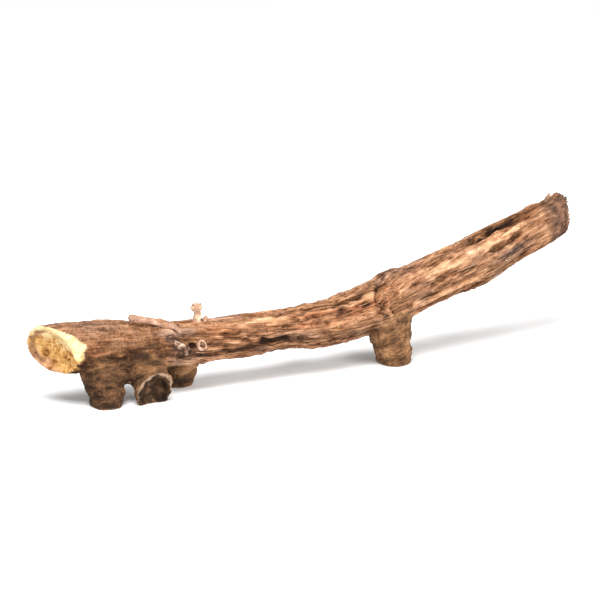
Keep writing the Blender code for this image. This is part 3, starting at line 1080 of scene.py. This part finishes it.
def bark_material():
    """Dried bark, with its cut and broken wood, its stumps and its scars."""
    material, g, shader = new_material("dried_root_bark")
    grain = stored(g, "grain", "Vector")
    cut, broken, stump = stored(g, "cut"), stored(g, "broken"), stored(g, "stump")
    scar, rootlet = stored(g, "scar"), stored(g, "rootlet")
    face, tint = stored(g, "face", "Vector"), stored(g, "tint", "Vector")
    patterns = bark_patterns(g, grain, RELIEF)
    tone = bark_tone(g, grain, patterns)
    patch = g.streaks(grain, 0.16, 0.42, 3.0, 5.0, 0.6)
    brown, grey, rust = bark_ramps(g, tone)
    bark = g.blend(g.most(g.step(patch, 0.52, 0.70) * 0.7, g.part(tint, 1)), brown, grey)
    bark = g.blend(g.most(g.step(patch, 0.46, 0.30) * 0.6, g.part(tint, 0) * 0.9), bark, rust)
    bark = g.blend(stump * 0.95, bark, stump_colour(g, grain, tone))
    bark = g.blend(rootlet * 0.5, bark, paint(160, 122, 98))
    # The scars' torn tissue: light on its lumps as painted highlights and dark between them as painted
    # shade; darker towards the scars' edges.
    scar_tint_and_painted_light = g.ramp(
        scar_lumps(g, grain, RELIEF) + 0.22 * (scar - 1),
        (0.40, 40, 27, 20),
        (0.50, 96, 70, 54),
        (0.60, 152, 126, 106),
        (0.70, 206, 186, 164),
    )
    bark = g.blend(g.least(1.6 * scar, 0.92), bark, scar_tint_and_painted_light)
    bark = g.blend(cut, bark, face_colour(g, grain, face))
    torn = g.ramp(
        g.noise(g.scaled(grain, 0.9, 0.8, 1.7), 1.0, 5.0, 19.0, 0.66),
        (0.37, 32, 22, 17),
        (0.48, 72, 52, 42),
        (0.57, 110, 80, 63),
        (0.70, 164, 122, 94),
    )
    bark = g.blend(broken, bark, torn)
    fine = g.streaks(grain, 0.8, 6.0, 3.0, 21.0, 0.6)
    grit = g.noise(grain, 6.0, 2.0, 25.0)
    bump = (0.7, 0.07, fine + 0.5 * grit + 0.5 * tone)
    dress(g, shader, bark, 0.95 - 0.20 * g.step(tone, 0.4, 1.0), 0.22, bump)
    return material


def stump_colour(g, grain, tone):
    """The stumps' bark, dusty and darkened as painted shade where they sit under the root, lighter on its
    wrinkles and darker between them as painted light and shade, and the hollow one's pit, dark with painted
    shade, and thin rim.
    """
    wrinkled = stump_wrinkles(g, grain, stored(g, "out"), RELIEF)
    # Darker than the bark partly as dust and partly as painted shade under the root; lighter on wrinkle
    # ridges and darker between them, painted light and shade.
    dust_and_painted_shade = g.ramp(
        0.20 + 1.0 * (wrinkled - 0.5) + 0.45 * tone,
        (0.14, 47, 30, 18),
        (0.34, 104, 72, 46),
        (0.52, 141, 103, 70),
        (0.80, 183, 142, 103),
    )
    clots = g.noise(grain, 1.1, 3.0, 29.0, 0.6)
    # The dark pit in the hollow stump's end is painted shade.
    pit_painted_shade = g.ramp(clots, (0.40, 22, 13, 8), (0.55, 62, 43, 28), (0.70, 112, 84, 58))
    rim = g.ramp(clots, (0.30, 96, 74, 56), (0.60, 160, 134, 108))
    wavy = stored(g, "hollow_end") + 0.3 * (clots - 0.5)
    end = g.blend(g.step(wavy, 0.88, 0.96), pit_painted_shade, rim)
    bark = g.blend(g.step(wavy, 1.12, 1.04), dust_and_painted_shade, end)
    foot = g.ramp(clots, (0.36, 96, 66, 40), (0.60, 176, 134, 92))
    return g.blend(stored(g, "foot") * 0.8, bark, foot)


def face_colour(g, grain, face):
    """The cut face: golden, cream over its upper part (partly the wood's tint and partly a painted
    highlight), tan at its lower left, pitted at its right.
    """
    share, across, up = (g.part(face, axis) for axis in range(3))
    clots = g.noise(grain, 0.95, 4.0, 17.0, 0.58, 0.8)
    flecks = g.noise(grain, 3.6, 2.0, 27.0, 0.6)
    pits = g.noise(grain, 1.5, 2.0, 35.0, 0.5, 0.6)
    mixed = clots + 0.22 * (flecks - 0.5)
    gold = g.ramp(
        mixed,
        (0.28, 100, 60, 22),
        (0.38, 160, 110, 56),
        (0.48, 196, 148, 86),
        (0.60, 214, 172, 108),
        (0.72, 228, 196, 138),
    )
    cream = g.ramp(mixed, (0.34, 186, 150, 98), (0.46, 214, 184, 132), (0.60, 226, 202, 155))
    tan = g.ramp(mixed, (0.32, 118, 76, 48), (0.50, 182, 134, 96), (0.68, 210, 168, 126))
    ochre = g.ramp(mixed, (0.36, 74, 44, 14), (0.56, 136, 92, 36))
    wander = 0.9 * (clots - 0.5)
    # The cream over the upper part is partly the wood's own tint and partly a painted highlight.
    upper = g.step(share * (up + 0.55 * across) + wander, 0.16, 0.44)
    wood = g.blend(upper, gold, cream)
    lower_left = g.step(share * (-0.6 * across - 0.7 * up) + wander, 0.42, 0.66)
    wood = g.blend(lower_left, wood, tan)
    pitted = g.step(pits, 0.55, 0.64) * g.step(share * (0.7 * across - 0.3 * up), 0.0, 0.35)
    return g.blend(pitted * (1 - upper), wood, ochre)


def floor_material():
    """A plain pale table."""
    material, g, shader = new_material("plain_floor")
    cloudy = g.noise(g.node("ShaderNodeTexCoord", None, None, "Object"), 9.0, 2.0, 3.0)
    tint = g.blend(g.step(cloudy, 0.3, 0.7), paint(247, 246, 245), paint(250, 250, 250))
    dress(g, shader, tint, 0.9, 0.1)
    return material


def make_floor():
    """A wide plain floor."""
    plate = bmesh.new()
    bmesh.ops.create_grid(plate, x_segments=1, y_segments=1, size=FLOOR_SIZE / 2 * MM)
    data = bpy.data.meshes.new("floor")
    plate.to_mesh(data)
    plate.free()
    floor = add_object("floor", data)
    data.materials.append(floor_material())


def photo_back():
    """The way from the root to the photograph's camera."""
    azimuth, elevation = math.radians(PHOTO_AZIMUTH), math.radians(PHOTO_ELEVATION)
    return Vector(
        (
            math.sin(azimuth) * math.cos(elevation),
            -math.cos(azimuth) * math.cos(elevation),
            math.sin(elevation),
        )
    )


def make_camera():
    """The photograph's view of the root."""
    data = bpy.data.cameras.new("camera")
    data.sensor_width = SENSOR
    data.lens = LENS
    data.clip_start = 1 * MM
    data.clip_end = 10
    camera = add_object("camera", data)
    distance = FRAME_WIDTH * LENS / SENSOR * MM
    camera.location = Vector(AIM) * MM + photo_back() * distance
    camera.rotation_euler = photo_back().to_track_quat("Z", "Y").to_euler()
    bpy.context.scene.camera = camera


def add_area_light(name, place, size, power):
    """A soft square lamp that looks at the root."""
    data = bpy.data.lights.new(name, "AREA")
    data.shape = "SQUARE"
    data.size = size * MM
    data.energy = power
    lamp = add_object(name, data)
    lamp.location = Vector(place) * MM
    lamp.rotation_euler = (Vector(place) - Vector(AIM)).to_track_quat("Z", "Y").to_euler()


def make_light():
    """Plain soft studio light: a bright room, and the lamps."""
    world = bpy.data.worlds.new("studio")
    world.use_nodes = True
    background = world.node_tree.nodes["Background"]
    background.inputs["Color"].default_value = (1.0, 1.0, 1.0, 1.0)
    background.inputs["Strength"].default_value = ROOM_LIGHT
    bpy.context.scene.world = world
    for name, lamp in LAMPS.items():
        add_area_light(name, *lamp)
    bpy.context.scene.view_settings.view_transform = "Standard"


def skin_finder(skin):
    """A search tree of the finished skin, in the root's own frame in mm."""
    points = points_of(skin.data) / MM - frame_shift()
    return BVHTree.FromPolygons(points.tolist(), [tuple(face.vertices) for face in skin.data.polygons])


def skin_radius(finder, along, turn):
    """How far the finished bark is from the middle line at places on it."""
    inner = on_root(along, turn, INSIDE)
    outward = on_root(along, turn, INSIDE + 1) - inner
    hits = [finder.ray_cast(start, way)[3] for start, way in zip(inner.tolist(), outward.tolist())]
    return INSIDE + np.array([hit if hit is not None else 0.0 for hit in hits])


def landed(finder, start, way):
    """Where a line from a point meets the skin, or None."""
    place = finder.ray_cast(start.tolist(), way.tolist())[0]
    return None if place is None else np.array(place)


def evened(values, rounds):
    """Values along a path with their bumps smoothed out."""
    for _ in range(rounds):
        values = np.convolve(np.pad(values, 1, "edge"), (0.25, 0.5, 0.25), "valid")
    return values


def path_mesh(name, paths):
    """A mesh of open paths. Each has its points in the root's own frame, radii and how light it is."""
    points = np.concatenate([path[0] for path in paths])
    edges, first = [], 0
    for places, _, _ in paths:
        edges += [(first + step, first + step + 1) for step in range(len(places) - 1)]
        first += len(places)
    mesh = bpy.data.meshes.new(name)
    mesh.from_pydata(((points + frame_shift()) * MM).tolist(), edges, [])
    store(mesh, "thickness", np.concatenate([path[1] for path in paths]) * MM)
    store(mesh, "shade", np.concatenate([np.full(len(path[0]), path[2]) for path in paths]))
    return mesh


def fibre_group(material, name, sizes):
    """Geometry nodes that make round, slightly lumpy fibres along paths."""
    g, size = new_group(name, sizes)
    curve = g.node("GeometryNodeMeshToCurve", None, {"Mesh": size["Geometry"]})
    circle = g.node("GeometryNodeCurvePrimitiveCircle", None, {"Resolution": size["Sides"], "Radius": 1})
    tube = g.node(
        "GeometryNodeCurveToMesh",
        None,
        {"Curve": curve, "Profile Curve": circle, "Scale": named(g, "thickness"), "Fill Caps": True},
    )
    position, normal = g.node("GeometryNodeInputPosition"), g.node("GeometryNodeInputNormal")
    lump = g.noise(position, 1 / MM / size["Lump width"], 2.0, size["Seed"]) - 0.5
    offset = g.times(normal, lump * size["Lump height"])
    rough = g.node("GeometryNodeSetPosition", None, {"Geometry": tube, "Offset": offset})
    return end_group(g, rough, material)


def add_fibres(name, paths, material, sides, lump_height, lump_width=0.3):
    """A piece of fibres along paths."""
    obj = add_object(name, path_mesh(name, paths))
    sizes = {"Sides": sides, "Lump height": lump_height * MM, "Lump width": lump_width, "Seed": SEED}
    add_nodes(obj, fibre_group(material, name, sizes), sizes)
    return add_piece(settle(obj, material))


def drawn_paths(draw_path, number, seed, finder):
    """Paths from a function that draws one, or gives None where it doesn't fit the root."""
    draw = np.random.default_rng(SEED + seed)
    paths = []
    while len(paths) < number:
        path = draw_path(finder, draw)
        if path is not None:
            paths.append(path)
    return paths


def strand_path(finder, draw):
    """A bast strand that lies along the grain past the smooth part; some have one end peeled up."""
    start, length, turn = draw.uniform(16, 62), draw.uniform(2.0, 8.5), draw.uniform(0, 360)
    size, peel = draw.uniform(0.03, 0.07), max(draw.normal(-0.3, 0.22), 0)
    shade = draw.uniform(0, 0.7)
    share = np.linspace(0, 1, int(length / 0.28) + 4)
    along = start + share * length
    sway = draw.uniform(0.5, 3) * np.sin(along * draw.uniform(0.4, 1.0) + draw.uniform(0, 6))
    turns = turn + twist(along) - twist(start) + sway
    radius = skin_radius(finder, along, turns)
    over = radius - bark_radius(along, turns)
    past_end = along[-1] > LENGTH - 0.4 or np.any(along < cut_at(radius, turns) + 0.6)
    if past_end or np.max(np.abs(over)) > STRAND_BARK:
        return None
    lift = -0.1 * size - 0.10 * falling(share, 0.12, 0.12) + peel * rising(share, 0.75, 0.25)
    places = on_root(along, turns, evened(radius, 2) + lift)
    taper = ease(share / 0.12 + 0.25) * ease((1 - share) / 0.15 + 0.2)
    return places, size * taper, shade


def rim_path(finder, draw):
    """A bast fibre that frays out of the bark's edge round the cut face."""
    turn, depth, reach = draw.uniform(140, 370), draw.uniform(0.04, 0.16), draw.gamma(2.0, 0.06)
    size, lean = draw.uniform(0.03, 0.07), draw.normal(0.10, 0.30)
    shade = draw.uniform(0.0, 0.8)
    rim = cut_at(bark_radius(1.0, turn), turn)
    radius = skin_radius(finder, np.array([rim + 0.5]), np.array([turn]))[0] - depth
    share = np.linspace(0, 1, 7)
    along = rim + 0.5 - share * (0.5 + reach)
    turns = turn + 10 * draw.normal(0, 0.6) * share**2
    places = on_root(along, turns, radius + lean * reach * share**2)
    return places, size * (1 - 0.75 * share**2), shade


def face_path(finder, draw):
    """The stub of a cut fibre that stands on the cut face."""
    turn, share_out = draw.uniform(0, 360), math.sqrt(draw.uniform(0, 1)) * 0.5
    size, height, shade = draw.uniform(0.06, 0.14), draw.uniform(0.0, 0.10), draw.uniform(0.1, 0.5)
    radius = share_out * bark_radius(0.0, turn)
    rim = cut_at(radius, turn)
    start = on_root(rim - 2.0, turn, radius)
    ahead = axes(rim)[0]
    place = landed(finder, start, ahead)
    if place is None or place[0] > start[0] + 4:
        return None
    way = unit(-ahead + draw.normal(0, 0.22, 3))
    share = np.array((-0.8, 0.0, 0.6, 0.9, 1.0))
    places = place + share[:, None] * max(height, 0.1) * way
    return places, size * np.array((1.0, 1.0, 0.85, 0.6, 0.2)), shade


def splinter_path(finder, draw):
    """A splinter of the broken end. They are longest towards its top at the front."""
    turn, share_out = draw.uniform(0, 360), math.sqrt(draw.uniform(0, 1))
    size, shade = draw.uniform(0.08, 0.22), draw.uniform(0, 0.8)
    radius = share_out * 0.96 * bark_radius(LENGTH, turn)
    tip = break_at(radius, turn)
    ahead, up, front = axes(tip)
    place = landed(finder, on_root(tip + 2.0, turn, radius), -ahead)
    if place is None:
        return None
    across = math.cos(math.radians(turn)) * up + math.sin(math.radians(turn)) * front
    favoured = 0.30 + 0.50 * share_out * max(math.cos(math.radians(turn - 20)), 0)
    reach = favoured * draw.uniform(0.1, 0.45)
    way = unit(ahead + draw.normal(0, 0.10, 3) + 0.16 * share_out * across)
    share = np.linspace(-0.5, 1, 6)
    bow = (share**2)[:, None] * reach * draw.normal(0, 0.08, 3)
    places = place + share[:, None] * reach * way + bow
    return places, size * np.clip(1.05 - np.maximum(share, 0) ** 3, 0.30, 1), shade


def spike_path():
    """The splinter that stands up at the break."""
    along, height, size = SPIKE.T
    return on_root(along, SPIKE_TURN, bark_radius(along, SPIKE_TURN) + height), size, 0.6


def hair_path(finder, draw):
    """A thin root hair. Most of them are low on the root."""
    start, turn = draw.uniform(4, 64), draw.normal(200, 60)
    length, curl = draw.uniform(1.0, 2.6), draw.uniform(-40, 40)
    radius = skin_radius(finder, np.array([start]), np.array([turn]))[0]
    if abs(radius - bark_radius(start, turn)) > HAIR_BARK:
        return None
    share = np.linspace(0, 1, 10)
    along = start + length * (0.75 * share + 0.1 * np.sin(5 * share))
    turns = turn + curl * share**2
    height = 0.55 * length * share * (1 - 0.55 * share) - 0.1
    places = on_root(along, turns, radius + np.minimum(height, 0.5))
    if places[:, 2].min() < 0.4:
        return None
    return places, 0.045 * (1.1 - share), draw.uniform(0.3, 1)


def growth_paths():
    """The rootlets and the nub, on smooth axes through their places."""
    paths = []
    for name, rows in GROWTHS.items():
        table = np.array(rows)
        reach = np.arange(len(rows))
        fine = np.linspace(0, len(rows) - 1, 10 * (len(rows) - 1) + 1)
        columns = [evened(np.interp(fine, reach, table[:, column]), 6) for column in range(4)]
        along, turn, height, size = columns
        places = on_root(along, turn, run_value(RADIUS, along) + height)
        paths.append((places, size, 0.7 if name.startswith("nub") else 0.35))
    return paths


def ring_paths(finder):
    """The rims of the ring scars, which lie on the bark's bumps."""
    draw = np.random.default_rng(SEED + 6)
    paths = []
    for along, turn, size, rim, shade in RING_SCARS:
        angle = np.linspace(0, math.tau, RING_POINTS)
        wobble = 1 + 0.12 * np.sin(2 * angle + draw.uniform(0, 6)) + 0.05 * np.sin(3 * angle)
        places_along = along + 1.12 * size * wobble * np.cos(angle)
        turns = turn + np.degrees(size * wobble * np.sin(angle) / FLAT_RADIUS)
        bark = skin_radius(finder, places_along, turns)
        radius = np.maximum(bark, np.median(bark)) - RING_SINK
        uneven = 1 + 0.3 * np.sin(angle + draw.uniform(0, 6)) + 0.2 * np.sin(4 * angle)
        uneven[-1] = uneven[0]
        places = on_root(places_along, turns, radius)
        paths.append((places, rim * uneven, shade))
    return paths


def flake_mesh():
    """One flake of cork: a thin lens with a ragged edge, 1 mm long."""
    flake = bmesh.new()
    edge = [flake.verts.new((x * MM, y * MM, 0.10 * abs(x) * MM)) for x, y in FLAKE_EDGE]
    top = flake.verts.new((0.02 * MM, 0.0, 0.07 * MM))
    bottom = flake.verts.new((0.0, 0.0, -0.05 * MM))
    for one, other in zip(edge, edge[1:] + edge[:1]):
        flake.faces.new((one, other, top))
        flake.faces.new((other, one, bottom))
    mesh = bpy.data.meshes.new("flake")
    flake.to_mesh(mesh)
    flake.free()
    return mesh


def random_vector(g, low, high, seed):
    """Another vector between two for each flake."""
    inputs = {0: low, 1: high, "Seed": seed}
    return g.node("FunctionNodeRandomValue", {"data_type": "FLOAT_VECTOR"}, inputs)


def flake_group(material, sizes):
    """Geometry nodes that strew cork flakes over the bark, along the grain and not in its furrows."""
    g, size = new_group("bark_flakes", sizes, ("Flake",))
    flake = g.node("GeometryNodeObjectInfo", None, {"Object": size["Flake"]}, "Geometry")
    bare = g.most(g.most(named(g, "cut"), named(g, "broken")), named(g, "scar"))
    above_floor = g.step(g.part(g.node("GeometryNodeInputPosition"), 2), 1.0 * MM, 1.6 * MM)
    worn = g.step(named(g, "fold"), -0.06, 0.0)
    where = worn * (1 - bare) * (1 - 0.6 * named(g, "stump")) * above_floor
    spots = g.tree.nodes.new("GeometryNodeDistributePointsOnFaces")
    g.feed(spots.inputs["Mesh"], size["Geometry"])
    g.feed(spots.inputs["Density"], where * size["Density"])
    g.feed(spots.inputs["Seed"], size["Seed"])
    turned = g.node(
        "FunctionNodeAlignRotationToVector",
        {"axis": "X", "pivot_axis": "Z"},
        {"Rotation": Value(g, spots.outputs["Rotation"]), "Vector": named(g, "ahead", vector=True)},
    )
    tilt = random_vector(g, (-0.25, -0.16, -0.4), (0.25, 0.06, 0.4), 3)
    tilted = g.node(
        "FunctionNodeRotateRotation",
        {"rotation_space": "LOCAL"},
        {"Rotation": turned, "Rotate By": tilt},
    )
    scale = random_vector(g, (0.3, 0.3, 0.8), (0.9, 0.8, 1.4), 5)
    points = Value(g, spots.outputs["Points"])
    strewn = g.node(
        "GeometryNodeInstanceOnPoints",
        None,
        {"Points": points, "Instance": flake, "Rotation": tilted, "Scale": scale},
    )
    return end_group(g, strewn, material)


def make_flakes(skin, material):
    """Cork flakes, strewn over a copy of the skin."""
    flake = add_object("flake", flake_mesh())
    obj = add_object("bark_flakes", skin.data.copy())
    sizes = {"Density": FLAKE_DENSITY / MM**2, "Seed": SEED}
    add_nodes(obj, flake_group(material, sizes), {**sizes, "Flake": flake})
    settle(obj, material)
    bpy.data.objects.remove(flake)
    return add_piece(obj)


def fibre_material(name, dark, medium, light):
    """Dried bast or wood in fibres: its tint varies between fibres and along them."""
    material, g, shader = new_material(name)
    place = g.node("ShaderNodeTexCoord", None, None, "Object")
    along = g.noise(place, 0.9 / MM, 3.0, 2.0, 0.6)
    fine = g.noise(place, 5.0 / MM, 2.0, 4.0)
    tone = 0.5 * stored(g, "shade") + 1.3 * (along - 0.5) + 0.5 * (fine - 0.5) + 0.25
    colour = g.ramp(tone, (0.10, *dark), (0.50, *medium), (0.90, *light))
    dress(g, shader, colour, 0.92 - 0.15 * along, 0.25, (0.4, 0.03, fine))
    return material


def main():
    """Makes the stage, the root's surface and all that grows or hangs on it."""
    make_floor()
    make_light()
    make_camera()
    bark = bark_material()
    skin = make_skin(bark)
    finder = skin_finder(skin)
    bast = fibre_material("bast_strands", (84, 56, 38), (152, 113, 84), (204, 162, 126))
    gold = fibre_material("cut_wood_fibres", (120, 76, 30), (196, 146, 82), (226, 186, 120))
    torn = fibre_material("torn_wood", (56, 40, 30), (116, 87, 67), (176, 138, 108))
    rootlets = fibre_material("rootlet_bark", (96, 68, 52), (172, 134, 112), (232, 206, 176))
    splinters = drawn_paths(splinter_path, SPLINTERS, 4, finder) + [spike_path()]
    add_fibres("bast_strands", drawn_paths(strand_path, STRANDS, 1, finder), bast, 5, 0.02)
    add_fibres("rim_fibres", drawn_paths(rim_path, RIM_FIBRES, 2, finder), bast, 5, 0.02)
    add_fibres("face_fibres", drawn_paths(face_path, FACE_FIBRES, 3, finder), gold, 5, 0.05)
    add_fibres("break_splinters", splinters, torn, 5, 0.05)
    add_fibres("root_hairs", drawn_paths(hair_path, HAIRS, 5, finder), rootlets, 4, 0.01)
    add_fibres("rootlets", growth_paths(), rootlets, 24, 0.36, 0.5)
    add_fibres("ring_scars", ring_paths(finder), rootlets, 8, 0.14, 0.25)
    make_flakes(skin, bark)
    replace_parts(add_piece(skin), ROOT)


main()
